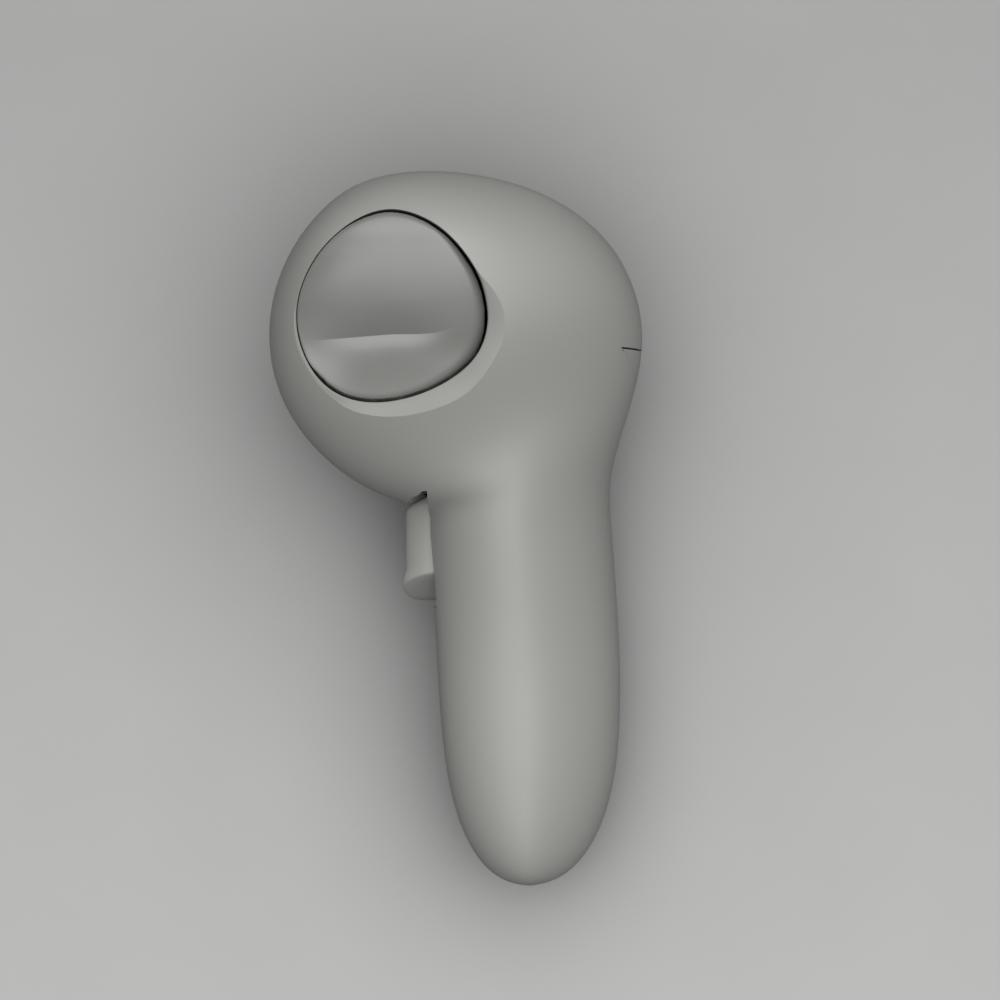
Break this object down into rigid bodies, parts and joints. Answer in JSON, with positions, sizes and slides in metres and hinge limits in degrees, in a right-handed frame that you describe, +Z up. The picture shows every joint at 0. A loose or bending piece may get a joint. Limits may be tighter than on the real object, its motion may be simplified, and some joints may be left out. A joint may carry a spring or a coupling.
{
  "type": "motion controller wand",
  "caption": "Left-hand motion controller wand: rounded head with index trigger, side grip lever, thumbstick and buttons on a slanted face, and a tapering battery handle.",
  "frame": {"origin": "on the floor, under the middle of the bounding box, the wand lying on its back", "axes": "+Y from the tail to the head, +Z up out of the trigger side, +X to the palm side"},
  "size_m": [0.0651, 0.126, 0.0566],
  "materials": {
    "shell": "fine moulded grain",
    "face": "smooth satin",
    "trim": "satin",
    "button": "satin",
    "grip_rubber": "matt",
    "inner_plastic": "matt",
    "steel": "bright",
    "magnet": "plated",
    "board": "lacquered board",
    "chip": "matt",
    "lens": "milky",
    "cell_can": "plain sleeve"
  },
  "bodies": {
    "housing": {"front_shell": "shell", "back_shell": "shell", "face_plate": "face", "lanyard_bush": "trim", "battery_tray": "inner_plastic", "head_frame": "inner_plastic", "stick_module": "inner_plastic", "battery_spring": "steel", "battery_contact": "steel", "haptic_motor": "steel", "trigger_pin": "steel", "trigger_spring": "steel", "grip_pin": "steel", "grip_spring": "steel", "board_screws": "steel", "main_board": "board", "led_strip": "board", "board_chips": "chip", "button_switches": "chip", "tracking_leds": "chip", "light_pipe": "lens", "battery_cell": "cell_can"},
    "trigger": {"trigger": "shell", "trigger_magnet": "magnet"},
    "grip_lever": {"grip_lever": "shell", "grip_magnet": "magnet"},
    "stick_cradle": {"stick_cradle": "inner_plastic"},
    "stick_yoke": {"stick_yoke": "steel"},
    "stick": {"stick_shaft": "steel", "stick_boot": "grip_rubber", "thumbstick_cap": "grip_rubber"},
    "upper_button": {"upper_button": "button"},
    "lower_button": {"lower_button": "button"},
    "menu_button": {"menu_button": "button"},
    "battery_cover": {"battery_cover": "shell"}
  },
  "joints": [
    {"name": "trigger_pull", "type": "hinge", "parent": "housing", "child": "trigger", "pos_m": [-0.0104, 0.0505, 0.042], "axis": [1, 0, 0], "range_deg": [0, 13], "stiffness_Nm_per_rad": 0.08, "springref_deg": -8.59, "deforming": ["trigger_spring"]},
    {"name": "grip_squeeze", "type": "hinge", "parent": "housing", "child": "grip_lever", "pos_m": [0.0005, 0.003, 0.018], "axis": [0, 0, 1], "range_deg": [0, 8], "stiffness_Nm_per_rad": 0.06, "springref_deg": -6.88, "deforming": ["grip_spring"]},
    {"name": "stick_press", "type": "slide", "parent": "housing", "child": "stick_cradle", "axis": [0, -0.7934, 0.6088], "range_m": [0, 0.0005], "stiffness_N_per_m": 3000, "springref_m": -0.0005},
    {"name": "stick_up_down", "type": "hinge", "parent": "stick_cradle", "child": "stick_yoke", "pos_m": [0.0034, 0.0418, 0.02792], "axis": [1, 0, 0], "range_deg": [-14, 14], "stiffness_Nm_per_rad": 0.03},
    {"name": "stick_left_right", "type": "hinge", "parent": "stick_yoke", "child": "stick", "pos_m": [0.0034, 0.0418, 0.02792], "axis": [0, 0.6088, 0.7934], "range_deg": [-14, 14], "stiffness_Nm_per_rad": 0.03},
    {"name": "upper_button_press", "type": "slide", "parent": "housing", "child": "upper_button", "axis": [0, -0.7934, 0.6088], "range_m": [0, 0.001], "stiffness_N_per_m": 800, "springref_m": -0.0005},
    {"name": "lower_button_press", "type": "slide", "parent": "housing", "child": "lower_button", "axis": [0, -0.7934, 0.6088], "range_m": [0, 0.001], "stiffness_N_per_m": 800, "springref_m": -0.0005},
    {"name": "menu_button_press", "type": "slide", "parent": "housing", "child": "menu_button", "axis": [0, -0.7934, 0.6088], "range_m": [0, 0.0005], "stiffness_N_per_m": 800, "springref_m": -0.0005},
    {"name": "cover_off", "type": "slide", "parent": "housing", "child": "battery_cover", "axis": [0, 0, -1], "range_m": [0, 0.025]}
  ]
}
